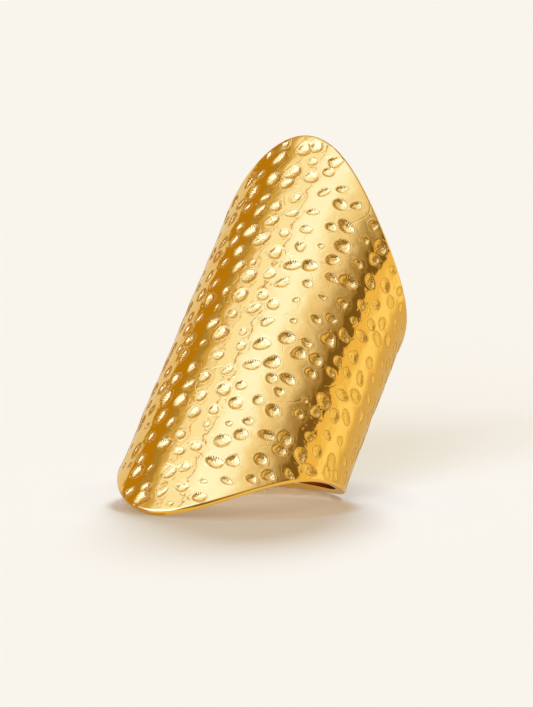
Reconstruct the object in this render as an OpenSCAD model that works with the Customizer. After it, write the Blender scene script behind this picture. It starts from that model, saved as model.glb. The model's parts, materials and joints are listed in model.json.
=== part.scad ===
/* [Ring] */
// Inside diameter of the ring, which is the finger size
finger_d = 17.3; // [15:0.1:21]
// Mean thickness of the shell
wall = 0.8; // [0.7:0.05:1.2]
// Shift of the bore towards the shield, which thins the shield and thickens the back
bore_shift = 0.16; // [0:0.02:0.2]

/* [Edge] */
// Length along the finger of the shield, from tip to tip
shield_len = 39.4; // [36:0.2:44]
// Length along the finger of the band at the back
band_len = 11.2; // [10:0.2:14]
// Height of the edge curve's handle next to the shield
shield_handle = 8; // [7:0.1:9]
// Height of the edge curve's handle next to the back
band_handle = 10.5; // [9.5:0.1:11.5]

/* [Hammer marks] */
// Columns of marks around the ring
mark_columns = 34; // [24:1:36]
// Distance along the finger between the marks of one column
mark_pitch = 2; // [2:0.1:3]
// How far a mark strays from its place, as a share of the distance to the next
mark_stray = 0.4; // [0:0.05:0.6]
// Width of the smaller full marks
mark_min = 0.85; // [0.7:0.05:1]
// Width of the largest marks
mark_max = 1.35; // [1:0.05:1.5]
// Share of the marks that are light taps, smaller than the others
mark_taps = 0.12; // [0:0.02:0.4]
// How much longer than wide the longest oval mark is, as a share of its width
mark_oval = 0.9; // [0:0.1:1]
// Depth of a mark, as a share of its width
mark_depth = 0.13; // [0.08:0.01:0.15]
// Plain metal kept between the marks and the edge
mark_margin = 0.3; // [0.3:0.05:1]
// Slant of the oval marks at the middle of the shield, in degrees
mark_slant = 36; // [0:5:90]
// Fall of that slant with each degree around the ring
mark_turn = 0.7; // [0:0.1:1]

/* [Hidden] */

// The ring is drawn around the finger axis Z with its shield towards X, and then turned and set down.
bore_r = finger_d / 2;
outer_r = bore_r + wall;
tip_z = shield_len / 2;
back_z = band_len / 2;
overrun = 1;
ring_sides = 180;
lens_sides = 72;

// Seen from the side, the edge is one cubic curve from the tip of the shield to the back of the band.
// Its height over the middle is worked out from the angle around the ring.
function edge_z(angle) =
    let (near = (1 + cos(angle)) / 2, far = 1 - near)
    tip_z * pow(near, 3) + 3 * shield_handle * pow(near, 2) * far
    + 3 * band_handle * near * pow(far, 2) + back_z * pow(far, 3);

// Rise of the edge for each millimetre around the ring
function edge_rise(angle) =
    let (near = (1 + cos(angle)) / 2, far = 1 - near)
    -3 * sin(angle) / (2 * outer_r) * ((tip_z - shield_handle) * pow(near, 2)
    + 2 * (shield_handle - band_handle) * near * far + (band_handle - back_z) * pow(far, 2));

// The edge is cut square to the sheet, in straight steps.
edge_steps = 60;
edge_angles = [for (i = [0 : edge_steps - 1]) 360 * i / edge_steps];

// Set down, the ring stands on the inner corner of the shield's lower tip, and leans back until the
// outer corner of the band's lower edge meets the surface. The lean is from upright to the finger axis.
tip_x = bore_r + bore_shift;
back_angles = [for (angle = edge_angles) if (cos(angle) < 0) angle];
lean = min([for (angle = back_angles) atan2(tip_z - edge_z(angle), tip_x - outer_r * cos(angle))]);
rest_z = tip_z * cos(lean) - tip_x * sin(lean);
front_y = -outer_r * cos(lean) - tip_z * sin(lean);
rear_y = max([for (angle = back_angles) edge_z(angle) * sin(lean) - outer_r * cos(angle) * cos(lean)]);

// A steady value from 0 to 1 for each mark and each of its traits
chance_turns = [127.1, 311.7, 74.7];
chance_scale = 43758.5453;
function chance(column, row, trait) =
    let (wave = sin([column, row, trait] * chance_turns) * chance_scale)
    wave - floor(wave);

// Each mark is [angle around the ring, height, width, length over width, slant]. Marks that would cross
// the edge are pulled in to it, or left out where that is too far, and those at the back lie any way.
mark_rows = ceil(tip_z / mark_pitch) + 1;
pull_in = 0.35 * mark_pitch;
tap_size = 0.6;
slant_spread = 60;
back_from = 150;
marks = [
    for (column = [0 : mark_columns - 1], row = [-mark_rows : mark_rows])
        let (
            step = 360 / mark_columns,
            turned = (column + (chance(column, row, 1) - 0.5) * mark_stray) * step,
            angle = turned > 180 ? turned - 360 : turned,
            height = (row + (column % 2) / 2 + (chance(column, row, 2) - 0.5) * mark_stray) * mark_pitch,
            full = mark_min + (mark_max - mark_min) * chance(column, row, 3),
            width = chance(column, row, 4) < mark_taps ? full * tap_size : full,
            to_edge = (mark_margin + width / 2) * norm([1, edge_rise(angle)]),
            limit = edge_z(angle) - to_edge,
            oval = 1 + mark_oval * pow(chance(column, row, 5), 2),
            scatter = chance(column, row, 6) - 0.5,
            on_back = abs(angle) > back_from,
            slant = on_back ? scatter * 180 : mark_slant - mark_turn * angle + scatter * slant_spread
        )
        if (abs(height) - limit < pull_in)
            [angle, sign(height) * min(abs(height), limit), width, oval, slant]
];

// A lens whose long way lies along Z, with its deepest point towards the ring's axis
lens_lift = 0.12;
module lens(width, oval) {
    across = width / sqrt(oval);
    along = width * sqrt(oval);
    depth = width * mark_depth;
    cut = depth + lens_lift;
    across_r = (pow(across / 2, 2) + pow(depth, 2)) / (2 * depth);
    along_r = (pow(along / 2, 2) + pow(depth, 2)) / (2 * depth);
    half = acos((across_r - cut) / across_r);
    translate([across_r - depth, 0, 0])
        rotate([0, 0, 180 - half])
        rotate_extrude(angle = 2 * half, $fn = lens_sides)
        intersection() {
            translate([across_r - along_r, 0]) circle(along_r, $fn = lens_sides);
            translate([across_r - cut, -along]) square([2 * cut, 2 * along]);
        }
}

module hammer_marks() {
    for (mark = marks)
        rotate([0, 0, mark[0]])
        translate([outer_r, 0, mark[1]])
        rotate([mark[4] - 90, 0, 0])
        lens(mark[2], mark[3]);
}

// A thick wavy washer whose upper and lower faces are the ring's edges, cut along lines from the axis.
// Its section has four corners, each a radius and a side.
module edge_washer() {
    inner = bore_r - wall;
    outer = outer_r + overrun;
    corners = [[inner, 1], [outer, 1], [outer, -1], [inner, -1]];
    points = [
        for (corner = corners, angle = edge_angles)
            [corner[0] * cos(angle), corner[0] * sin(angle), corner[1] * edge_z(angle)]
    ];
    faces = [
        for (corner = [0 : 3], i = [0 : edge_steps - 1])
            let (
                here = corner * edge_steps,
                next = (corner + 1) % 4 * edge_steps,
                j = (i + 1) % edge_steps
            )
            each [[here + i, here + j, next + j], [here + i, next + j, next + i]]
    ];
    polyhedron(points, faces);
}

module pipe(radius) {
    cylinder(r = radius, h = shield_len + overrun, center = true, $fn = ring_sides);
}

module ring() {
    color("gold")
        translate([0, -(front_y + rear_y) / 2, rest_z])
        rotate([-lean, 0, 0])
        rotate([0, 0, -90])
        difference() {
            intersection() {
                pipe(outer_r);
                edge_washer();
            }
            translate([bore_shift, 0, 0]) pipe(bore_r);
            hammer_marks();
        }
}

ring();
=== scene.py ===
import json
import math
from collections import namedtuple

import bpy
import numpy as np
from bpy.props import FloatProperty, FloatVectorProperty, IntProperty, PointerProperty
from mathutils import Matrix, Vector
from mathutils.geometry import delaunay_2d_cdt


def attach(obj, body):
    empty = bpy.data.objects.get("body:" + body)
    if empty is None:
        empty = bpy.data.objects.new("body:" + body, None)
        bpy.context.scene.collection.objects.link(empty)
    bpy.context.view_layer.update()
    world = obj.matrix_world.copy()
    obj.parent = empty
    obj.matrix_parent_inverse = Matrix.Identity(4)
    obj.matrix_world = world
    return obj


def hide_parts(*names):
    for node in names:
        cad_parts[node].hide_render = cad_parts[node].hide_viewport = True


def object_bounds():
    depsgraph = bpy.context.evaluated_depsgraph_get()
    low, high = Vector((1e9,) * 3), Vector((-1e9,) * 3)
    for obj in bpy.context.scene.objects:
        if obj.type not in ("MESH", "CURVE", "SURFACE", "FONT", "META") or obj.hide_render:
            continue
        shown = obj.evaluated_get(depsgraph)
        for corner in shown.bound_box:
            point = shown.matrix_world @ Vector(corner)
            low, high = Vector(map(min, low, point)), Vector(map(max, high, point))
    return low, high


bl_info = {
    "name": "Hammered Shield Ring",
    "version": (1, 0, 0),
    "blender": (4, 5, 0),
    "location": "View3D > Sidebar > Shield Ring",
    "description": "Adds a hammered gold shield ring and the pale studio that it stands in",
    "category": "Add Mesh",
}

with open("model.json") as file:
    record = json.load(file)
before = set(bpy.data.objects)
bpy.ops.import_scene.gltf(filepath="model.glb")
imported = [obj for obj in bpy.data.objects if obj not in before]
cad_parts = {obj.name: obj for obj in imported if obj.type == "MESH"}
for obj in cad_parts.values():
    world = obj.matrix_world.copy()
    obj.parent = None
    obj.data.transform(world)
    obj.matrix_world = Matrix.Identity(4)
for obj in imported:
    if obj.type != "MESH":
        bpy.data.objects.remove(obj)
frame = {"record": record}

MM = 0.001
cad_low, cad_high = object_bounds()
finger_hole = next(mount for mount in frame["record"]["mounts"] if mount["name"] == "finger_hole")


class RingSizes(bpy.types.PropertyGroup):
    """The bent sheet: its radii, its two lengths and the curve of its edge."""

    outer_radius: FloatProperty(
        name="Outer radius",
        description="Radius of the outside, around the finger",
        default=cad_high.x,
        unit="LENGTH",
    )
    bore_radius: FloatProperty(
        name="Bore radius",
        description="Radius of the finger hole",
        default=finger_hole["dims"]["r_mm"] * MM,
        unit="LENGTH",
    )
    bore_shift: FloatProperty(
        name="Bore shift",
        description="How far the hole lies towards the shield, which thins the shield",
        default=0.16 * MM,
        unit="LENGTH",
    )
    shield_length: FloatProperty(
        name="Shield length",
        description="Length along the finger at the middle of the shield",
        default=39.4 * MM,
        unit="LENGTH",
    )
    band_length: FloatProperty(
        name="Band length",
        description="Length along the finger at the back",
        default=11.2 * MM,
        unit="LENGTH",
    )
    shield_handle: FloatProperty(
        name="Shield handle",
        description="Height of the edge curve's handle next to the shield",
        default=8.0 * MM,
        unit="LENGTH",
    )
    band_handle: FloatProperty(
        name="Band handle",
        description="Height of the edge curve's handle next to the back",
        default=10.5 * MM,
        unit="LENGTH",
    )
    edge_round: FloatProperty(
        name="Outer edge rounding",
        description="Radius of the worn outer corner along the edge",
        default=0.27 * MM,
        unit="LENGTH",
    )
    band_round: FloatProperty(
        name="Band rounding",
        description="Rounding of the same corner at the back of the band",
        default=0.1 * MM,
        unit="LENGTH",
    )
    inner_round: FloatProperty(
        name="Inner edge rounding",
        description="Radius of the worn inner corner along the edge",
        default=0.13 * MM,
        unit="LENGTH",
    )


class HammerMarks(bpy.types.PropertyGroup):
    """The marks of the hammer: how many there are, their sizes and the way they lie."""

    columns: IntProperty(name="Columns", description="Columns of marks around the ring", default=34)
    pitch: FloatProperty(
        name="Pitch",
        description="Distance along the finger between the marks of one column",
        default=2.0 * MM,
        unit="LENGTH",
    )
    stray: FloatProperty(
        name="Stray",
        description="How far a mark strays, as a share of the distance to the next",
        default=0.4,
        subtype="FACTOR",
    )
    smallest: FloatProperty(
        name="Smallest",
        description="Width of the smaller full marks",
        default=0.85 * MM,
        unit="LENGTH",
    )
    largest: FloatProperty(
        name="Largest",
        description="Width of the largest marks",
        default=1.45 * MM,
        unit="LENGTH",
    )
    taps: FloatProperty(
        name="Light taps",
        description="Share of the marks that are light taps, smaller than the others",
        default=0.12,
        subtype="FACTOR",
    )
    oval: FloatProperty(
        name="Oval",
        description="How much longer than wide the longest mark is, as a share of its width",
        default=0.75,
        subtype="FACTOR",
    )
    depth: FloatProperty(
        name="Depth",
        description="Depth of a mark, as a share of its width",
        default=0.15,
        subtype="FACTOR",
    )
    margin: FloatProperty(
        name="Margin",
        description="Plain metal kept between the marks and the edge",
        default=0.3 * MM,
        unit="LENGTH",
    )
    slant: FloatProperty(
        name="Slant",
        description="Slant of the oval marks at the middle of the shield",
        default=math.radians(36),
        subtype="ANGLE",
    )
    turn: FloatProperty(
        name="Turn",
        description="Fall of that slant with the angle around the ring",
        default=0.7,
    )
    pull: FloatProperty(
        name="Pull",
        description="How far each blow draws in the sheet around its mark",
        default=0.11 * MM,
        unit="LENGTH",
    )


class GoldFinish(bpy.types.PropertyGroup):
    """The polished gold and the grain that the hammer leaves in it."""

    colour: FloatVectorProperty(
        name="Colour",
        description="Colour of the gold",
        subtype="COLOR",
        size=3,
        min=0.0,
        max=1.0,
        default=(1.0, 0.65, 0.15),
    )
    polish: FloatProperty(
        name="Polish",
        description="Roughness of the sheet between the marks",
        default=0.07,
        subtype="FACTOR",
    )
    grain: FloatProperty(
        name="Grain",
        description="Roughness on the floor of the marks",
        default=0.14,
        subtype="FACTOR",
    )
    inside_colour: FloatVectorProperty(
        name="Inside colour",
        description="Deeper colour of the unpolished inside",
        subtype="COLOR",
        size=3,
        min=0.0,
        max=1.0,
        default=(0.74, 0.46, 0.08),
    )
    satin: FloatProperty(
        name="Satin",
        description="Roughness of the inside",
        default=0.24,
        subtype="FACTOR",
    )


class StudioSettings(bpy.types.PropertyGroup):
    """The camera, the pale floor and the lights."""

    azimuth: FloatProperty(
        name="Azimuth",
        description="Turn of the camera around the ring, to the ring's left side",
        default=math.radians(31.1),
        subtype="ANGLE",
    )
    elevation: FloatProperty(
        name="Elevation",
        description="Angle of the camera above the floor",
        default=math.radians(5.0),
        subtype="ANGLE",
    )
    roll: FloatProperty(
        name="Roll",
        description="Tilt of the picture's frame",
        default=math.radians(1.3),
        subtype="ANGLE",
    )
    distance: FloatProperty(
        name="Distance",
        description="Distance from the camera to the middle of the ring",
        default=283.5 * MM,
        unit="LENGTH",
    )
    lens: FloatProperty(name="Lens", description="Focal length", default=164.0, unit="CAMERA")
    floor_radius: FloatProperty(
        name="Floor radius",
        description="Radius of the pale floor, which fades out towards its rim",
        default=3.0,
        unit="LENGTH",
    )
    backdrop: FloatVectorProperty(
        name="Backdrop",
        description="Colour of the backdrop and of the lit floor",
        subtype="COLOR",
        size=3,
        min=0.0,
        max=1.0,
        default=(0.956, 0.913, 0.838),
    )


# The ring is worked out around its finger axis, with its shield towards the first axis, and then turned
# to where it stands. Its heights are lengths along the finger from the middle.
finger_axis = Vector(finger_hole["axis"]).normalized()
across_axis = Vector((1.0, 0.0, 0.0))
shield_axis = across_axis.cross(finger_axis)
STANDING = Matrix((shield_axis, across_axis, finger_axis)).transposed()


def ring_middle(sizes):
    """The middle of the ring's outside: the finger hole lies a little towards the shield from it."""
    return Vector(finger_hole["pos_m"]) - shield_axis * sizes.bore_shift


def edge_height(sizes, angle):
    """Height of the edge over the middle, one cubic curve from the shield's tip to the back."""
    near = (1 + np.cos(angle)) / 2
    far = 1 - near
    return (
        sizes.shield_length / 2 * near**3
        + 3 * sizes.shield_handle * near**2 * far
        + 3 * sizes.band_handle * near * far**2
        + sizes.band_length / 2 * far**3
    )


def edge_rise(sizes, angle):
    """Rise of the edge for each metre around the ring."""
    near = (1 + np.cos(angle)) / 2
    far = 1 - near
    bend = (
        (sizes.shield_length / 2 - sizes.shield_handle) * near**2
        + 2 * (sizes.shield_handle - sizes.band_handle) * near * far
        + (sizes.band_handle - sizes.band_length / 2) * far**2
    )
    return -3 * np.sin(angle) / (2 * sizes.outer_radius) * bend


def outer_rounding(sizes, angle):
    """Rounding of the outer corner, from the back of the band to the shield's sides."""
    share = np.clip(1 + np.cos(angle), 0, 1)
    return sizes.band_round + (sizes.edge_round - sizes.band_round) * share * share * (3 - 2 * share)


def chance(column, row, trait):
    """A steady value from 0 to 1 for each mark and each of its traits."""
    wave = math.sin(math.radians(column * 127.1 + row * 311.7 + trait * 74.7)) * 43758.5453
    return wave - math.floor(wave)


Mark = namedtuple("Mark", "angle height half_long half_wide slant depth warp turn")
# A mark that crosses the edge by up to this share of the pitch is pulled in to it.
PULL_IN = 0.35
TAP_SIZE = 0.6
# The marks' slants scatter by this much, and from this angle on to the back they lie any way.
SLANT_SPREAD = math.radians(60)
BACK_FROM = math.radians(150)
# Between these angles around the ring the marks lose this share of their depth.
SIDE_FROM = math.radians(58)
SIDE_TO = math.radians(74)
SIDE_FADE = 0.45
# The least depth of a mark and the spread over that, as shares of the depth set
LEAST_DEPTH = 0.75
DEPTH_SPREAD = 0.4
# How uneven an outline is at the most, with three lobes, and the share of that with two lobes
MARK_WARP = 0.09
TWO_LOBES = 0.6


def hammer_marks(sizes, style):
    """Every mark on the ring. One that would cross the edge is pulled in to it, or left out."""
    tip = sizes.shield_length / 2
    rows = math.ceil(tip / style.pitch) + 1
    step = 2 * math.pi / style.columns
    marks = []
    for column in range(style.columns):
        for row in range(-rows, rows + 1):
            angle = (column + (chance(column, row, 1) - 0.5) * style.stray) * step
            if angle > math.pi:
                angle -= 2 * math.pi
            height = (row + column % 2 / 2 + (chance(column, row, 2) - 0.5) * style.stray) * style.pitch
            width = style.smallest + (style.largest - style.smallest) * chance(column, row, 3)
            if chance(column, row, 4) < style.taps:
                width *= TAP_SIZE
            to_edge = (style.margin + width / 2) * math.hypot(1, edge_rise(sizes, angle))
            limit = float(edge_height(sizes, angle)) - to_edge
            if abs(height) - limit >= PULL_IN * style.pitch:
                continue
            height = math.copysign(min(abs(height), limit), height)
            stretch = math.sqrt(1 + style.oval * chance(column, row, 5) ** 2)
            scatter = chance(column, row, 6) - 0.5
            slant = style.slant - style.turn * angle + scatter * SLANT_SPREAD
            if abs(angle) > BACK_FROM:
                slant = scatter * math.pi
            past_side = min(max((abs(angle) - SIDE_FROM) / (SIDE_TO - SIDE_FROM), 0), 1)
            faded = 1 - SIDE_FADE * past_side
            marks.append(
                Mark(
                    angle=angle,
                    height=height,
                    half_long=width * stretch / 2,
                    half_wide=width / stretch / 2,
                    slant=slant,
                    depth=width * style.depth * faded * (LEAST_DEPTH + DEPTH_SPREAD * chance(column, row, 7)),
                    warp=MARK_WARP * chance(column, row, 8),
                    turn=2 * math.pi * chance(column, row, 9),
                )
            )
    return marks


def mark_outline(mark, way):
    """Reach of a mark's outline in a direction, as a share of its oval: most are a little uneven."""
    three = mark.warp * np.cos(3 * way + mark.turn)
    two = TWO_LOBES * mark.warp * np.cos(2 * way - mark.turn)
    return 1 + three + two


def mark_points(sizes, mark, reach, count, offset):
    """Points around a mark at a share of its outline's reach, as angles and heights."""
    way = 2 * math.pi * (np.arange(count) + offset) / count
    share = reach * mark_outline(mark, way)
    along = share * mark.half_long * np.cos(way)
    across = share * mark.half_wide * np.sin(way)
    around = along * math.cos(mark.slant) - across * math.sin(mark.slant)
    up = along * math.sin(mark.slant) + across * math.cos(mark.slant)
    return np.column_stack([mark.angle + around / sizes.outer_radius, mark.height + up])


# The section of a mark: a bowl that steepens towards its rim, whose corner is rounded, and a low lip.
BOWL_POWER = 3.4
RIM_ROUND = 0.06
LIP_HEIGHT = 0.05
LIP_AT = 1.14
LIP_WIDTH = 0.1
MARK_REACH = 2.2
# The share of the outline at which a mark's floor ends, and how softly
FLOOR_END = 1.02
FLOOR_SOFT = 0.1
# How far a blow draws in the sheet around it, and how near its edge the sheet is too stiff for that
PULL_REACH = 0.8 * MM
STIFF_EDGE = 1.4 * MM


def sheet_height(sizes, style, marks, angle, height):
    """How far the outside stands off its cylinder, and how much of that point is a mark's floor."""
    pulled = np.zeros(len(angle))
    bowls = np.zeros(len(angle))
    lips = np.zeros(len(angle))
    floors = np.zeros(len(angle))
    far_reach = 3 * PULL_REACH
    for mark in marks:
        around = (angle - mark.angle + math.pi) % (2 * math.pi) - math.pi
        around = around * sizes.outer_radius
        up = height - mark.height
        near = np.flatnonzero((np.abs(around) < far_reach) & (np.abs(up) < far_reach))
        around = around[near]
        up = up[near]
        along = around * math.cos(mark.slant) + up * math.sin(mark.slant)
        across = up * math.cos(mark.slant) - around * math.sin(mark.slant)
        size = mark.half_long + mark.half_wide
        away = (along**2 + across**2) / PULL_REACH**2
        pulled[near] += style.pull * size / style.largest * np.exp(-away)
        along = along / mark.half_long
        across = across / mark.half_wide
        share = np.hypot(along, across) / mark_outline(mark, np.arctan2(across, along))
        core = 1 - share**BOWL_POWER
        bowl = mark.depth * (core + np.sqrt(core**2 + RIM_ROUND**2)) / 2
        bowls[near] = np.maximum(bowls[near], np.where(share < MARK_REACH, bowl, 0))
        lip = LIP_HEIGHT * mark.depth * np.exp(-(((share - LIP_AT) / LIP_WIDTH) ** 2))
        lips[near] = np.maximum(lips[near], lip)
        floors[near] = np.maximum(floors[near], np.clip((FLOOR_END - share) / FLOOR_SOFT, 0, 1))
    room = (edge_height(sizes, angle) - np.abs(height)) / np.hypot(1, edge_rise(sizes, angle))
    share = np.clip(room / STIFF_EDGE, 0, 1)
    loose = share * share * (3 - 2 * share)
    swell = gentle_swell(sizes, angle, height)
    return (swell - pulled) * loose - bowls + lips * (1 - floors), floors


# The waves of the unevenness, the depth of each, its most turns around the ring and its shortest length
SWELLS = 7
SWELL_DEPTH = 0.006 * MM
SWELL_TURNS = 9
SWELL_LENGTH = 4.0 * MM


def gentle_swell(sizes, angle, height):
    """The slight unevenness of a sheet bent by hand, as a few crossing waves."""
    swell = np.zeros(len(angle))
    for wave in range(SWELLS):
        turns = 1 + round(SWELL_TURNS * chance(wave, 1, 11))
        rate = (chance(wave, 2, 11) - 0.5) * 2 * math.pi / SWELL_LENGTH
        phase = 2 * math.pi * chance(wave, 3, 11)
        swell += SWELL_DEPTH * (np.sin(turns * angle + rate * height + phase) - 1)
    return swell


# The mesh of the outside: straight rows of points between the marks and rings of points in them. Each
# ring has its share of the mark's outline and its number of points.
EDGE_STEPS = 400
GRID_STEP = 0.32 * MM
EDGE_GAP = 0.12 * MM
MARK_CLEAR = 1.28
MARK_RINGS = [(1.22, 22), (1.1, 24), (1.02, 24), (0.95, 24), (0.86, 22), (0.7, 18), (0.48, 13), (0.22, 7)]
CLOSEST = 0.035 * MM


def laid_out(sizes, points):
    """Lays angles and heights out flat as a washer, which has no seam and keeps every small shape."""
    reach = np.exp(points[:, 1] / sizes.outer_radius)
    return np.column_stack([reach * np.cos(points[:, 0]), reach * np.sin(points[:, 0])])


def rolled_up(sizes, flat):
    """The angles and heights of points laid out flat."""
    angle = np.arctan2(flat[:, 1], flat[:, 0])
    height = np.log(np.hypot(flat[:, 0], flat[:, 1])) * sizes.outer_radius
    return np.column_stack([angle, height])


def sheet_points(sizes, style, marks):
    """The two edges' points and then the points between them, as angles and heights."""
    angles = 2 * math.pi * np.arange(EDGE_STEPS) / EDGE_STEPS
    slope = np.hypot(1, edge_rise(sizes, angles))
    edge = edge_height(sizes, angles) - outer_rounding(sizes, angles) * slope
    upper = np.column_stack([angles, edge])
    lower = np.column_stack([angles, -edge])
    columns = round(2 * math.pi * sizes.outer_radius / GRID_STEP)
    row_step = GRID_STEP * math.sqrt(3) / 2
    rows = math.ceil(sizes.shield_length / 2 / row_step)
    inner = []
    for row in range(-rows, rows + 1):
        turned = 2 * math.pi * (np.arange(columns) + row % 2 / 2) / columns
        inner.append(np.column_stack([turned, np.full(columns, row * row_step)]))
    grid = np.concatenate(inner)
    keep = np.ones(len(grid), bool)
    for mark in marks:
        keep &= mark_share(sizes, mark, grid) > MARK_CLEAR
    rings = []
    for mark in marks:
        for order, (reach, count) in enumerate(MARK_RINGS):
            rings.append(mark_points(sizes, mark, reach, count, order % 2 / 2))
        rings.append(np.array([[mark.angle, mark.height]]))
    inner = np.concatenate([grid[keep]] + rings)
    angle, height = inner.T
    room = (edge_height(sizes, angle) - np.abs(height)) / np.hypot(1, edge_rise(sizes, angle))
    inner = inner[room > outer_rounding(sizes, angle) + EDGE_GAP]
    around = inner[:, 0] % (2 * math.pi) * sizes.outer_radius
    cells = np.round(np.column_stack([around, inner[:, 1]]) / CLOSEST)
    first = np.unique(cells, axis=0, return_index=True)[1]
    return np.concatenate([upper, lower, inner[np.sort(first)]])


def mark_share(sizes, mark, points):
    """Distance of points from a mark's middle, as a share of the way to its outline."""
    around = ((points[:, 0] - mark.angle + math.pi) % (2 * math.pi) - math.pi) * sizes.outer_radius
    up = points[:, 1] - mark.height
    along = (around * math.cos(mark.slant) + up * math.sin(mark.slant)) / mark.half_long
    across = (up * math.cos(mark.slant) - around * math.sin(mark.slant)) / mark.half_wide
    return np.hypot(along, across) / mark_outline(mark, np.arctan2(across, along))


# Distance within which the triangulation takes two points for one, laid out flat
SAME_POINT = 1e-9


def sheet_triangles(sizes, points):
    """Joins the points of the outside into triangles, with none across the lower opening."""
    flat = laid_out(sizes, points)
    edges = [(i, (i + 1) % EDGE_STEPS) for i in range(EDGE_STEPS)]
    edges += [(i + EDGE_STEPS, j + EDGE_STEPS) for i, j in edges]
    result = delaunay_2d_cdt([Vector(point) for point in flat], edges, [], 0, SAME_POINT, True)
    placed = np.array([vertex[:] for vertex in result[0]])
    origin = [source[0] if source else -1 for source in result[3]]
    faces = np.array([face for face in result[2] if len(face) == 3])
    if len(placed) != len(points) or -1 in origin:
        raise RuntimeError("the triangulation changed the points of the sheet")
    back = np.array(origin)
    faces = back[faces]
    middle = rolled_up(sizes, flat[faces].mean(axis=1))
    on_edge = (faces < 2 * EDGE_STEPS).all(axis=1)
    outside = np.abs(middle[:, 1]) > chord_height(points, middle[:, 0])
    return faces[~(on_edge & outside)][:, ::-1]


def chord_height(points, angle):
    """Height of the edge's straight steps at an angle."""
    step = 2 * math.pi / EDGE_STEPS
    place = angle % (2 * math.pi) / step
    first = np.floor(place).astype(int) % EDGE_STEPS
    share = place - np.floor(place)
    heights = points[:EDGE_STEPS, 1]
    return heights[first] * (1 - share) + heights[(first + 1) % EDGE_STEPS] * share


def on_sheet(angle, height, radius):
    """Points in the ring's own axes from their angles, heights and distances from the finger axis."""
    return np.column_stack([radius * np.cos(angle), radius * np.sin(angle), height])


# Half the distance over which the sheet's slope is measured
SLOPE_STEP = 0.004 * MM


def sheet_normals(sizes, style, marks, angle, height, radius):
    """The outward normal at each point of the outside, from the slope of the sheet there."""
    turn = SLOPE_STEP / sizes.outer_radius
    ahead = sheet_height(sizes, style, marks, angle + turn, height)[0]
    behind = sheet_height(sizes, style, marks, angle - turn, height)[0]
    above = sheet_height(sizes, style, marks, angle, height + SLOPE_STEP)[0]
    below = sheet_height(sizes, style, marks, angle, height - SLOPE_STEP)[0]
    around_slope = (ahead - behind) / (2 * turn) / radius
    up_slope = (above - below) / (2 * SLOPE_STEP)
    outward = np.column_stack([np.cos(angle), np.sin(angle), np.zeros(len(angle))])
    around = np.column_stack([-np.sin(angle), np.cos(angle), np.zeros(len(angle))])
    normals = outward - around * around_slope[:, None]
    normals[:, 2] -= up_slope
    return normals / np.linalg.norm(normals, axis=1)[:, None]


def bore_reach(sizes, angle):
    """Distance from the ring's axis to the wall of the finger hole."""
    side = sizes.bore_shift * np.sin(angle)
    return sizes.bore_shift * np.cos(angle) + np.sqrt(sizes.bore_radius**2 - side**2)


# Steps around each worn corner, across the cut face between them, and along the finger hole
CORNER_STEPS = 6
FACE_STEPS = 3
WALL_ROWS = 28


def edge_section(sizes, angles, sheet_radius):
    """The loops of one edge from the outside to the inside: radii, and heights short of the edge."""
    outer_round = outer_rounding(sizes, angles)
    inner_round = sizes.inner_round
    inner = bore_reach(sizes, angles)
    slope = np.hypot(1, edge_rise(sizes, angles))
    loops = []
    for step in range(1, CORNER_STEPS + 1):
        turn = math.pi / 2 * step / CORNER_STEPS
        short = outer_round * (1 - math.sin(turn))
        loops.append((sheet_radius - outer_round * (1 - math.cos(turn)), short * slope))
    for step in range(1, FACE_STEPS):
        share = step / FACE_STEPS
        outer_corner = sheet_radius - outer_round
        inner_corner = inner + inner_round
        loops.append((outer_corner + (inner_corner - outer_corner) * share, np.zeros(len(angles))))
    for step in range(CORNER_STEPS + 1):
        turn = math.pi / 2 * step / CORNER_STEPS
        short = inner_round * (1 - math.cos(turn))
        loops.append((inner + inner_round * (1 - math.sin(turn)), short * slope))
    return loops


def ring_mesh(sizes, style):
    """The whole ring as one closed mesh: the hammered outside, the two edges and the smooth inside."""
    marks = hammer_marks(sizes, style)
    points = sheet_points(sizes, style, marks)
    triangles = sheet_triangles(sizes, points)
    angle, height = points.T
    offset, floors = sheet_height(sizes, style, marks, angle, height)
    radius = sizes.outer_radius + offset
    vertices = [on_sheet(angle, height, radius)]
    normals = sheet_normals(sizes, style, marks, angle, height, radius)
    angles = angle[:EDGE_STEPS]
    edge = edge_height(sizes, angles)
    count = len(points)
    loops = [np.arange(EDGE_STEPS)]
    section = edge_section(sizes, angles, radius[:EDGE_STEPS])
    for reach, short in section:
        vertices.append(on_sheet(angles, edge - short, reach))
        loops.append(np.arange(count, count + EDGE_STEPS))
        count += EDGE_STEPS
    top, slack = section[-1][0], section[-1][1]
    for row in range(1, WALL_ROWS):
        share = 1 - 2 * row / WALL_ROWS
        vertices.append(on_sheet(angles, (edge - slack) * share, top))
        loops.append(np.arange(count, count + EDGE_STEPS))
        count += EDGE_STEPS
    section = edge_section(sizes, angles, radius[EDGE_STEPS : 2 * EDGE_STEPS])
    for reach, short in reversed(section):
        vertices.append(on_sheet(angles, short - edge, reach))
        loops.append(np.arange(count, count + EDGE_STEPS))
        count += EDGE_STEPS
    loops.append(np.arange(EDGE_STEPS, 2 * EDGE_STEPS))
    rim = 2 * CORNER_STEPS + FACE_STEPS
    quads = []
    inside = []
    for order, (here, there) in enumerate(zip(loops, loops[1:])):
        quads.append(np.column_stack([here, np.roll(here, -1), np.roll(there, -1), there]))
        inside.append(np.full(EDGE_STEPS, rim <= order < len(loops) - 1 - rim))
    quads = np.concatenate(quads)
    inside = np.concatenate([np.zeros(len(triangles), bool)] + inside)
    vertices = np.concatenate(vertices)
    extra = len(vertices) - len(points)
    normals = np.concatenate([normals, np.zeros((extra, 3))])
    floors = np.concatenate([floors, np.zeros(extra)])
    return vertices, triangles, quads, inside, normals, floors


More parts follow.
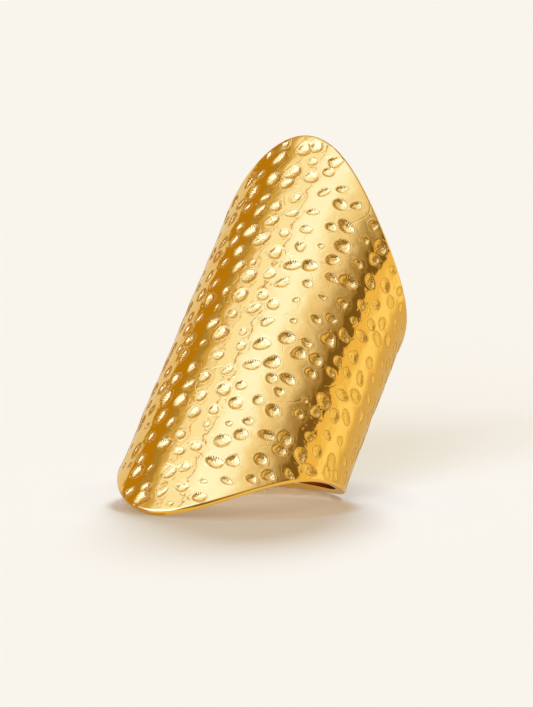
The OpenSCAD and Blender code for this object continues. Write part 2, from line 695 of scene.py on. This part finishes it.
def make_ring(sizes, style):
    """The ring's object, stood up where the frame has it."""
    vertices, triangles, quads, inside, normals, floors = ring_mesh(sizes, style)
    turn = np.array(STANDING)
    vertices = vertices @ turn.T + np.array(ring_middle(sizes))
    normals = normals @ turn.T
    mesh = bpy.data.meshes.new("hammered_ring")
    mesh.from_pydata(vertices.tolist(), [], triangles.tolist() + quads.tolist())
    mesh.update()
    mesh.polygons.foreach_set("material_index", inside.astype(np.int32))
    mesh.shade_smooth()
    mesh.normals_split_custom_set_from_vertices(normals.tolist())
    attribute = mesh.attributes.new("mark_floor", "FLOAT", "POINT")
    attribute.data.foreach_set("value", floors)
    ring = bpy.data.objects.new("hammered_ring", mesh)
    bpy.context.collection.objects.link(ring)
    return ring


class NodeBoard:
    """Adds nodes to a tree in a few words. A socket or a plain value may be given for each input."""

    def __init__(self, tree):
        self.tree = tree
        tree.nodes.clear()

    def add(self, kind, settings=None, **inputs):
        node = self.tree.nodes.new(kind)
        for name, value in (settings or {}).items():
            setattr(node, name, value)
        for name, value in inputs.items():
            self.feed(node.inputs[name.replace("_", " ")], value)
        return node

    def feed(self, socket, value):
        if isinstance(value, bpy.types.NodeSocket):
            self.tree.links.new(value, socket)
        else:
            socket.default_value = value

    def math(self, operation, *values):
        node = self.tree.nodes.new("ShaderNodeMath")
        node.operation = operation
        for socket, value in zip(node.inputs, values):
            self.feed(socket, value)
        return node.outputs[0]

    def ramp(self, value, low, high, out_low=0.0, out_high=1.0):
        """A smooth step from one value to another."""
        node = self.add("ShaderNodeMapRange", {"interpolation_type": "SMOOTHSTEP"}, Value=value)
        node.inputs["From Min"].default_value = low
        node.inputs["From Max"].default_value = high
        node.inputs["To Min"].default_value = out_low
        node.inputs["To Max"].default_value = out_high
        return node.outputs["Result"]


# ShaderNodeMix has an input of each name for each type of value. These are the places of its colours.
MIX_FACTOR = 0
MIX_FIRST = 6
MIX_SECOND = 7
MIX_RESULT = 2


def mix_colours(board, factor, first, second, blend="MIX"):
    """Mixes two colours, each a socket or red, green and blue."""
    node = board.tree.nodes.new("ShaderNodeMix")
    node.data_type = "RGBA"
    node.blend_type = blend
    board.feed(node.inputs[MIX_FACTOR], factor)
    for place, colour in ((MIX_FIRST, first), (MIX_SECOND, second)):
        if not isinstance(colour, bpy.types.NodeSocket):
            colour = (*colour, 1.0)
        board.feed(node.inputs[place], colour)
    return node.outputs[MIX_RESULT]


# The gold's small marks. A pattern's scale is how many of its cells lie along a metre, and its height is
# in metres. A range is the part of the pattern's values over which its effect comes in.
GRAIN_SCALE = 3000.0
GRAIN_HEIGHT = 0.07 * MM
PEEN_SCALE = 4300.0
PEEN_HEIGHT = 0.016 * MM
CLOUD_SCALE = 800.0
CLOUD_HEIGHT = 0.035 * MM
CLOUD_RANGE = (0.35, 0.75)
CLOUD_POLISH = (0.75, 1.6)
PIT_SCALE = 900.0
PIT_DEPTH = 0.02 * MM
PIT_RANGE = (0.03, 0.14)
# The share of the cells that have a pit, and the factor that spreads the cells' colours to pick them
PITTED = 0.25
PIT_LOTS = 7.0
CREASE_SCALE = 330.0
CREASE_DEPTH = 0.012 * MM
CREASE_WIDTH = 0.03
CREASE_BEND = 0.6 * MM
CREASED_RANGE = (0.54, 0.62)
# The share of the floors' grain that the plain sheet has too
PLAIN_GRAIN = 0.02
# Painted shade at the marks' rims: how strongly the gold's colour is darkened where a mark's floor ends, and
# the darker colour put there
RIM_SHADE_STRENGTH = 0.75
RIM_SHADE_COLOUR = (0.80, 0.43, 0.06)


def gold_material(finish):
    """Polished gold with faint clouds, pits and creases.

    The marks' floors keep a grain from the hammer, and along their rims the gold's colour is darkened, a
    painted shade.
    """
    material = bpy.data.materials.new("hammered_gold")
    material.use_nodes = True
    board = NodeBoard(material.node_tree)
    place = board.add("ShaderNodeTexCoord").outputs["Object"]
    floor = board.add("ShaderNodeAttribute", {"attribute_name": "mark_floor"}).outputs["Fac"]
    grain = board.add("ShaderNodeTexNoise", None, Vector=place, Scale=GRAIN_SCALE, Detail=3.0, Roughness=0.6)
    peen = board.add("ShaderNodeTexVoronoi", None, Vector=place, Scale=PEEN_SCALE)
    noise = board.add("ShaderNodeTexNoise", None, Vector=place, Scale=CLOUD_SCALE, Detail=2.0, Roughness=0.5)
    cloud = noise.outputs["Fac"]
    pits = board.add("ShaderNodeTexVoronoi", None, Vector=place, Scale=PIT_SCALE)
    bent = mix_colours(board, CREASE_BEND, place, noise.outputs["Color"], "ADD")
    to_edge = {"feature": "DISTANCE_TO_EDGE"}
    cracks = board.add("ShaderNodeTexVoronoi", to_edge, Vector=bent, Scale=CREASE_SCALE)
    pit = board.ramp(pits.outputs["Distance"], *PIT_RANGE, 1.0, 0.0)
    lot = board.math("FRACT", board.math("MULTIPLY", pits.outputs["Color"], PIT_LOTS))
    pit = board.math("MULTIPLY", pit, board.math("LESS_THAN", lot, PITTED))
    crease = board.ramp(cracks.outputs["Distance"], 0.0, CREASE_WIDTH, 1.0, 0.0)
    crease = board.math("MULTIPLY", crease, board.ramp(cloud, *CREASED_RANGE))
    roughness = board.math("ADD", finish.polish, board.math("MULTIPLY", floor, finish.grain - finish.polish))
    roughness = board.math("MULTIPLY", roughness, board.ramp(cloud, *CLOUD_RANGE, *CLOUD_POLISH))
    rough_floor = board.math(
        "ADD",
        board.math("MULTIPLY", grain.outputs["Fac"], GRAIN_HEIGHT),
        board.math("MULTIPLY", peen.outputs["Distance"], PEEN_HEIGHT),
    )
    # Painted shade: the gold's colour darkens to a deeper orange along each mark's rim
    rim_shade_mask = board.math("MULTIPLY", floor, board.math("SUBTRACT", 1.0, floor))
    rim = board.math("MULTIPLY", rim_shade_mask, 4 * RIM_SHADE_STRENGTH)
    colour = mix_colours(board, rim, tuple(finish.colour), RIM_SHADE_COLOUR)
    rise = board.math("MULTIPLY", rough_floor, board.math("ADD", floor, PLAIN_GRAIN))
    rise = board.math("ADD", rise, board.math("MULTIPLY", cloud, CLOUD_HEIGHT))
    rise = board.math("SUBTRACT", rise, board.math("MULTIPLY", pit, PIT_DEPTH))
    rise = board.math("SUBTRACT", rise, board.math("MULTIPLY", crease, CREASE_DEPTH))
    bump = board.add("ShaderNodeBump", None, Height=rise, Strength=1.0, Distance=1.0)
    shader = board.add("ShaderNodeBsdfPrincipled", None, Roughness=roughness, Normal=bump.outputs["Normal"])
    board.feed(shader.inputs["Base Color"], colour)
    shader.inputs["Metallic"].default_value = 1.0
    out = board.add("ShaderNodeOutputMaterial")
    board.tree.links.new(shader.outputs["BSDF"], out.inputs["Surface"])
    return material


# The fine lines of the inside: how many to a metre, their height, and how much they change its roughness
LINE_SCALE = 5000.0
LINE_HEIGHT = 0.004 * MM
LINE_RANGE = (0.3, 0.7)
SMOOTHER = 0.8
ROUGHER = 1.25


def satin_material(finish):
    """The inside of the ring: satin gold with fine lines around the finger."""
    material = bpy.data.materials.new("satin_gold")
    material.use_nodes = True
    board = NodeBoard(material.node_tree)
    along = board.add("ShaderNodeVectorMath", {"operation": "DOT_PRODUCT"})
    board.feed(along.inputs[0], board.add("ShaderNodeTexCoord").outputs["Object"])
    board.feed(along.inputs[1], finger_axis)
    lines = board.add("ShaderNodeTexNoise", {"noise_dimensions": "1D"}, Scale=LINE_SCALE, Detail=3.0)
    board.feed(lines.inputs["W"], along.outputs["Value"])
    rise = board.math("MULTIPLY", lines.outputs["Fac"], LINE_HEIGHT)
    bump = board.add("ShaderNodeBump", None, Height=rise, Strength=1.0, Distance=1.0)
    roughness = board.ramp(
        lines.outputs["Fac"], *LINE_RANGE, finish.satin * SMOOTHER, finish.satin * ROUGHER
    )
    shader = board.add("ShaderNodeBsdfPrincipled", None, Roughness=roughness, Normal=bump.outputs["Normal"])
    shader.inputs["Base Color"].default_value = (*finish.inside_colour, 1.0)
    shader.inputs["Metallic"].default_value = 1.0
    out = board.add("ShaderNodeOutputMaterial")
    board.tree.links.new(shader.outputs["BSDF"], out.inputs["Surface"])
    return material


# The lights that the gold mirrors are soft panels that stand along the finger axis. Each row has the
# angles around that axis, in degrees from the shield, at which the panel starts and ends, how soft those
# two edges are, its tilts over the ring's middle plane, how soft those are, and its colour.
Panel = namedtuple("Panel", "name start end start_soft end_soft low high tilt_soft colour")
PANELS = [
    Panel("ceiling", -200, 60, 1, 10, 62, 120, 12, (0.46, 0.27, 0.03)),
    Panel("left foot", -165, -72, 8, 8, -60, 14, 12, (0.52, 0.38, 0.20)),
    Panel("left wall", -152, -89, 10, 3, 14, 75, 12, (0.79, 0.72, 0.58)),
    Panel("amber flag", -89, -60, 3, 5, -25, 60, 20, (0.48, 0.27, 0.012)),
    Panel("flag edge", -61, -52, 4, 9, -30, 60, 20, (0.42, 0.31, 0.13)),
    Panel("lamp edge", -53, -30, 8, 16, -30, 62, 20, (0.62, 0.50, 0.27)),
    Panel("back wall", 48, 92, 20, 6, 4, 62, 14, (0.33, 0.245, 0.14)),
    Panel("wall gap", 83, 101, 8, 3, 4, 62, 14, (0.19, 0.125, 0.05)),
    Panel("lamp halo", -38, 64, 18, 40, 4, 64, 14, (0.88, 0.88, 1.25)),
    Panel("top lamp", -36, 38, 14, 30, 2, 62, 14, (0.99, 1.16, 2.1)),
    Panel("top lamp middle", -4, 28, 24, 22, 2, 60, 14, (1.0, 1.38, 3.3)),
    Panel("lamp seam", -11.3, -9.7, 0.8, 0.8, -60, 60, 10, (0.50, 0.28, 0.13)),
    Panel("lamp fold", -31, -29.6, 1.2, 1.2, 0, 60, 10, (0.66, 0.50, 0.22)),
    Panel("room front", 12, 100, 16, 12, -20, 8, 12, (0.36, 0.26, 0.13)),
    Panel("front lamp", -50, 18, 36, 30, -54, 16, 12, (1.4, 2.0, 5.6)),
    Panel("right wall foot", 96, 200, 10, 1, -60, 18, 14, (0.84, 0.68, 0.42)),
    Panel("right wall", 98, 200, 5, 1, 14, 75, 12, (0.87, 0.68, 0.34)),
    Panel("right wall middle", 116, 140, 12, 12, 14, 75, 12, (0.99, 0.93, 0.70)),
    Panel("far right wall", 150, 200, 14, 1, 14, 75, 12, (0.68, 0.54, 0.31)),
    Panel("far left wall", -200, -152, 1, 10, -60, 75, 14, (0.66, 0.53, 0.31)),
    Panel("band end", -158, -132, 3, 3, -60, 75, 8, (0.47, 0.31, 0.16)),
    Panel("gold floor", -200, 200, 1, 1, -95, -50, 16, (0.80, 0.62, 0.20)),
]
# The colour between the panels
ROOM = (0.19, 0.14, 0.08)


def window(board, value, low, high, low_soft, high_soft):
    """1 between two angles in degrees, with soft sides."""
    rise_from = math.radians(low - low_soft / 2)
    rise_to = math.radians(low + low_soft / 2)
    fall_from = math.radians(high - high_soft / 2)
    fall_to = math.radians(high + high_soft / 2)
    rise = board.ramp(value, rise_from, rise_to)
    fall = board.ramp(value, fall_from, fall_to, 1.0, 0.0)
    return board.math("MULTIPLY", rise, fall)


def mirrored_room(board):
    """The colour of the studio that the gold mirrors, by direction."""
    way = board.add("ShaderNodeTexCoord").outputs["Generated"]
    parts = []
    for axis in (shield_axis, across_axis, finger_axis):
        dot = board.add("ShaderNodeVectorMath", {"operation": "DOT_PRODUCT"})
        board.feed(dot.inputs[0], way)
        board.feed(dot.inputs[1], axis)
        parts.append(dot.outputs["Value"])
    around = board.math("ARCTAN2", parts[1], parts[0])
    tilt = board.math("ARCSINE", parts[2])
    colour = ROOM
    for panel in PANELS:
        sides = window(board, around, panel.start, panel.end, panel.start_soft, panel.end_soft)
        ends = window(board, tilt, panel.low, panel.high, panel.tilt_soft, panel.tilt_soft)
        colour = mix_colours(board, board.math("MULTIPLY", sides, ends), colour, panel.colour)
    return colour


# What the gold throws on the floor beside it and, after more turns inside the ring, on the floor under
# it, before the gold's own colour.
GOLD_GLOW = (0.6, 0.7, 2.0)
INSIDE_GLOW = (4.2, 8.3, 150.0)
# Lie between whole numbers of turns of the light
ONE_TURN = 0.5
TWO_TURNS = 1.5


def light_the_room(settings):
    """The world: what the gold mirrors, what lights the floor, and what the camera sees behind."""
    world = bpy.data.worlds.new("pale_studio")
    world.use_nodes = True
    world.cycles.sampling_method = "NONE"
    board = NodeBoard(world.node_tree)
    mirrored = mirrored_room(board)
    path = board.add("ShaderNodeLightPath")
    soft = tuple(1 - sum(shares) for shares in zip(*(lamp.share for lamp in LAMPS)))
    off_gold = board.math("GREATER_THAN", path.outputs["Glossy Depth"], ONE_TURN)
    off_floor = board.math("GREATER_THAN", path.outputs["Diffuse Depth"], ONE_TURN)
    off_inside = board.math("GREATER_THAN", path.outputs["Glossy Depth"], TWO_TURNS)
    glow = mix_colours(board, off_inside, GOLD_GLOW, INSIDE_GLOW)
    colour = mix_colours(board, off_floor, mirrored, mix_colours(board, off_gold, soft, glow))
    colour = mix_colours(board, path.outputs["Is Camera Ray"], colour, tuple(settings.backdrop))
    background = board.add("ShaderNodeBackground", None, Color=colour)
    out = board.add("ShaderNodeOutputWorld")
    board.tree.links.new(background.outputs[0], out.inputs["Surface"])
    bpy.context.scene.world = world


# The lamps that light the floor and throw the ring's soft shadow. They don't show in the gold. Each row
# has the way that the lamp lies, how broad it looks in degrees and its share of the floor's light, in
# red, green and blue. The rest of the floor's light is warm and comes from all round, as off the gold.
Lamp = namedtuple("Lamp", "name way breadth share")
LAMPS = [
    Lamp("back_lamp", (-0.28, 0.76, 0.60), 16, (0.36, 0.46, 0.58)),
    Lamp("front_lamp", (0.26, -0.93, 0.28), 30, (0.16, 0.20, 0.28)),
]


def floor_lamps():
    """Broad soft lamps that throw the ring's shadow to the front and to the right."""
    for row in LAMPS:
        light = bpy.data.lights.new(row.name, "SUN")
        light.angle = math.radians(row.breadth)
        way = Vector(row.way).normalized()
        light.color = row.share
        light.energy = math.pi / way.z
        lamp = bpy.data.objects.new(row.name, light)
        lamp.rotation_euler = way.to_track_quat("Z", "Y").to_euler()
        lamp.visible_glossy = False
        bpy.context.collection.objects.link(lamp)


# How far from the ring the floor's colour is darkened by a painted contact shade, and that painted shade
# where they touch
CONTACT_REACH = 7 * MM
PAINTED_CONTACT_SHADE = (0.68, 0.62, 0.54)
CONTACT_RAYS = 8
# Where the back lamp would shine through the finger hole, the floor has a painted shadow instead of a
# bright spot: it glows with a fixed colour and takes no lamp's light. The painted shadow is deeper where the
# ring is near.
PAINTED_HOLE_SHADOW_DEEP = (0.40, 0.27, 0.16)
PAINTED_HOLE_SHADOW = (0.61, 0.45, 0.29)
# The painted shadow's spot: its width as a share of the hole's, how far to the right its middle lies, and
# the share of its reach at which it has faded out
SPOT_WIDTH = 0.85
SPOT_SHIFT = 0.9 * MM
SPOT_FADE = 1.24
# The shares of the floor's radius between which it fades into the backdrop
FLOOR_FADE = (0.3, 0.95)


def on_floor(spot, way):
    """Where a lamp throws the shadow of a spot."""
    return (spot - way * (spot.z - cad_low.z) / way.z).to_2d()


def painted_hole_shadow_mask(board, place, sizes):
    """1 on the floor where the back lamp would shine through the finger hole, which is where the painted
    shadow goes, and 0 elsewhere.

    The spot reaches from the shield's lower tip to the shadow of the band's upper edge.
    """
    way = Vector(LAMPS[0].way)
    middle = Vector(finger_hole["pos_m"])
    inside = sizes.bore_radius * shield_axis
    tip = on_floor(middle + inside - finger_axis * sizes.shield_length / 2, way)
    back = on_floor(middle - inside + finger_axis * sizes.band_length / 2, way)
    centre = (tip + back) / 2 + SPOT_SHIFT * across_axis.to_2d()
    front = (tip - back) / 2
    side = SPOT_WIDTH * sizes.bore_radius * across_axis.to_2d()
    shares = Matrix((side, front)).transposed().inverted()
    offset = board.add("ShaderNodeVectorMath", {"operation": "SUBTRACT"})
    board.feed(offset.inputs[0], place)
    board.feed(offset.inputs[1], (centre.x, centre.y, 0.0))
    squares = []
    for row in shares:
        dot = board.add("ShaderNodeVectorMath", {"operation": "DOT_PRODUCT"})
        board.feed(dot.inputs[0], offset.outputs["Vector"])
        board.feed(dot.inputs[1], (row[0], row[1], 0.0))
        squares.append(board.math("MULTIPLY", dot.outputs["Value"], dot.outputs["Value"]))
    share = board.math("SQRT", board.math("ADD", *squares))
    return board.ramp(share, 1.0, SPOT_FADE, 1.0, 0.0)


def floor_material(settings, sizes):
    """Pale card with a painted shade near the ring and a painted shadow where light would come through the
    finger hole; it fades into the backdrop far from it.
    """
    material = bpy.data.materials.new("pale_card")
    material.use_nodes = True
    board = NodeBoard(material.node_tree)
    place = board.add("ShaderNodeTexCoord").outputs["Object"]
    away = board.add("ShaderNodeVectorMath", {"operation": "LENGTH"})
    board.feed(away.inputs[0], place)
    fade_from, fade_to = (settings.floor_radius * share for share in FLOOR_FADE)
    gone = board.ramp(away.outputs["Value"], fade_from, fade_to)
    rays = {"samples": CONTACT_RAYS}
    # Painted contact shade: the card's colour darkens by how much of the space around it is blocked, not by
    # any lamp
    near_ring = board.add("ShaderNodeAmbientOcclusion", rays, Distance=CONTACT_REACH)
    open_air = near_ring.outputs["AO"]
    shade = mix_colours(board, open_air, PAINTED_CONTACT_SHADE, (1.0, 1.0, 1.0))
    card_colour_with_painted_shade = mix_colours(board, 1.0, tuple(settings.backdrop), shade, "MULTIPLY")
    card = board.add("ShaderNodeBsdfDiffuse", None, Color=card_colour_with_painted_shade)
    # Painted shadow: under the finger hole the floor glows with a fixed shadow colour instead of taking the
    # lamps' light
    painted_shadow_colour = mix_colours(board, open_air, PAINTED_HOLE_SHADOW_DEEP, PAINTED_HOLE_SHADOW)
    painted_shadow_glow = board.add("ShaderNodeEmission", None, Color=painted_shadow_colour)
    lit = board.add("ShaderNodeMixShader", None, Fac=painted_hole_shadow_mask(board, place, sizes))
    board.tree.links.new(card.outputs[0], lit.inputs[1])
    board.tree.links.new(painted_shadow_glow.outputs[0], lit.inputs[2])
    clear = board.add("ShaderNodeBsdfTransparent")
    mix = board.add("ShaderNodeMixShader", None, Fac=gone)
    board.tree.links.new(lit.outputs[0], mix.inputs[1])
    board.tree.links.new(clear.outputs[0], mix.inputs[2])
    out = board.add("ShaderNodeOutputMaterial")
    board.tree.links.new(mix.outputs[0], out.inputs["Surface"])
    return material


# The worn corners stand this far clear of where the sharp ones would rest.
WORN_AWAY = 0.05 * MM
FLOOR_SIDES = 96


def pale_floor(settings, sizes):
    """A round floor under the ring."""
    corners = []
    for i in range(FLOOR_SIDES):
        turn = 2 * math.pi * i / FLOOR_SIDES
        along = settings.floor_radius * math.cos(turn)
        across = settings.floor_radius * math.sin(turn)
        corners.append((along, across, 0.0))
    mesh = bpy.data.meshes.new("pale_floor")
    mesh.from_pydata(corners, [], [tuple(range(FLOOR_SIDES))])
    floor = bpy.data.objects.new("pale_floor", mesh)
    mesh.materials.append(floor_material(settings, sizes))
    bpy.context.collection.objects.link(floor)
    floor.location.z = cad_low.z + WORN_AWAY
    floor.visible_glossy = False
    return floor


# How far right of the picture's middle and below it the ring's middle lies
MIDDLE_RIGHT = 0.66 * MM
MIDDLE_DOWN = 2.12 * MM
SENSOR = 36.0
NEAREST = 0.01
FARTHEST = 100.0


def add_camera(settings, sizes):
    """The camera at the photograph's angle to the ring."""
    turn = settings.azimuth
    rise = settings.elevation
    flat = math.cos(rise)
    back = Vector((math.sin(turn) * flat, -math.cos(turn) * flat, math.sin(rise)))
    level = Vector((math.cos(turn), math.sin(turn), 0.0))
    upright = back.cross(level)
    right = math.cos(settings.roll) * level + math.sin(settings.roll) * upright
    up = math.cos(settings.roll) * upright - math.sin(settings.roll) * level
    place = ring_middle(sizes) - MIDDLE_RIGHT * right + MIDDLE_DOWN * up + settings.distance * back
    data = bpy.data.cameras.new("studio_camera")
    data.sensor_width = SENSOR
    data.lens = settings.lens
    data.clip_start = NEAREST
    data.clip_end = FARTHEST
    camera = bpy.data.objects.new("studio_camera", data)
    turned = Matrix((right, up, back)).transposed().to_4x4()
    camera.matrix_world = Matrix.Translation(place) @ turned
    bpy.context.collection.objects.link(camera)
    bpy.context.scene.camera = camera
    return camera


class SHIELDRING_OT_add_ring(bpy.types.Operator):
    """Add the hammered gold ring"""

    bl_idname = "shieldring.add_ring"
    bl_label = "Hammered Ring"
    bl_options = {"REGISTER", "UNDO"}

    def execute(self, context):
        scene = context.scene
        ring = make_ring(scene.shield_ring_sizes, scene.shield_ring_marks)
        ring.data.materials.append(gold_material(scene.shield_ring_gold))
        ring.data.materials.append(satin_material(scene.shield_ring_gold))
        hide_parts("ring")
        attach(ring, "root")
        return {"FINISHED"}


class SHIELDRING_OT_add_studio(bpy.types.Operator):
    """Add the camera, the pale floor and the lights"""

    bl_idname = "shieldring.add_studio"
    bl_label = "Studio"
    bl_options = {"REGISTER", "UNDO"}

    def execute(self, context):
        scene = context.scene
        settings = scene.shield_ring_studio
        add_camera(settings, scene.shield_ring_sizes)
        pale_floor(settings, scene.shield_ring_sizes)
        light_the_room(settings)
        floor_lamps()
        scene.view_settings.view_transform = "Standard"
        return {"FINISHED"}


class SHIELDRING_PT_sidebar(bpy.types.Panel):
    """The ring's own tab in the sidebar"""

    bl_idname = "SHIELDRING_PT_sidebar"
    bl_label = "Shield Ring"
    bl_space_type = "VIEW_3D"
    bl_region_type = "UI"
    bl_category = "Shield Ring"

    def draw(self, context):
        layout = self.layout
        scene = context.scene
        for operator, groups in SIDEBAR:
            box = layout.box()
            box.operator(operator)
            for group in groups:
                settings = getattr(scene, group)
                for name in settings.bl_rna.properties.keys():
                    if name not in ("name", "rna_type"):
                        box.prop(settings, name)


SIDEBAR = [
    ("shieldring.add_studio", ["shield_ring_studio"]),
    ("shieldring.add_ring", ["shield_ring_sizes", "shield_ring_marks", "shield_ring_gold"]),
]
SETTINGS = {
    "shield_ring_sizes": RingSizes,
    "shield_ring_marks": HammerMarks,
    "shield_ring_gold": GoldFinish,
    "shield_ring_studio": StudioSettings,
}
CLASSES = [*SETTINGS.values(), SHIELDRING_OT_add_ring, SHIELDRING_OT_add_studio, SHIELDRING_PT_sidebar]


def register():
    for cls in CLASSES:
        bpy.utils.register_class(cls)
    for name, group in SETTINGS.items():
        setattr(bpy.types.Scene, name, PointerProperty(type=group))


def unregister():
    for name in SETTINGS:
        delattr(bpy.types.Scene, name)
    for cls in reversed(CLASSES):
        bpy.utils.unregister_class(cls)


def main():
    register()
    bpy.ops.shieldring.add_studio()
    bpy.ops.shieldring.add_ring()


if __name__ == "__main__":
    main()
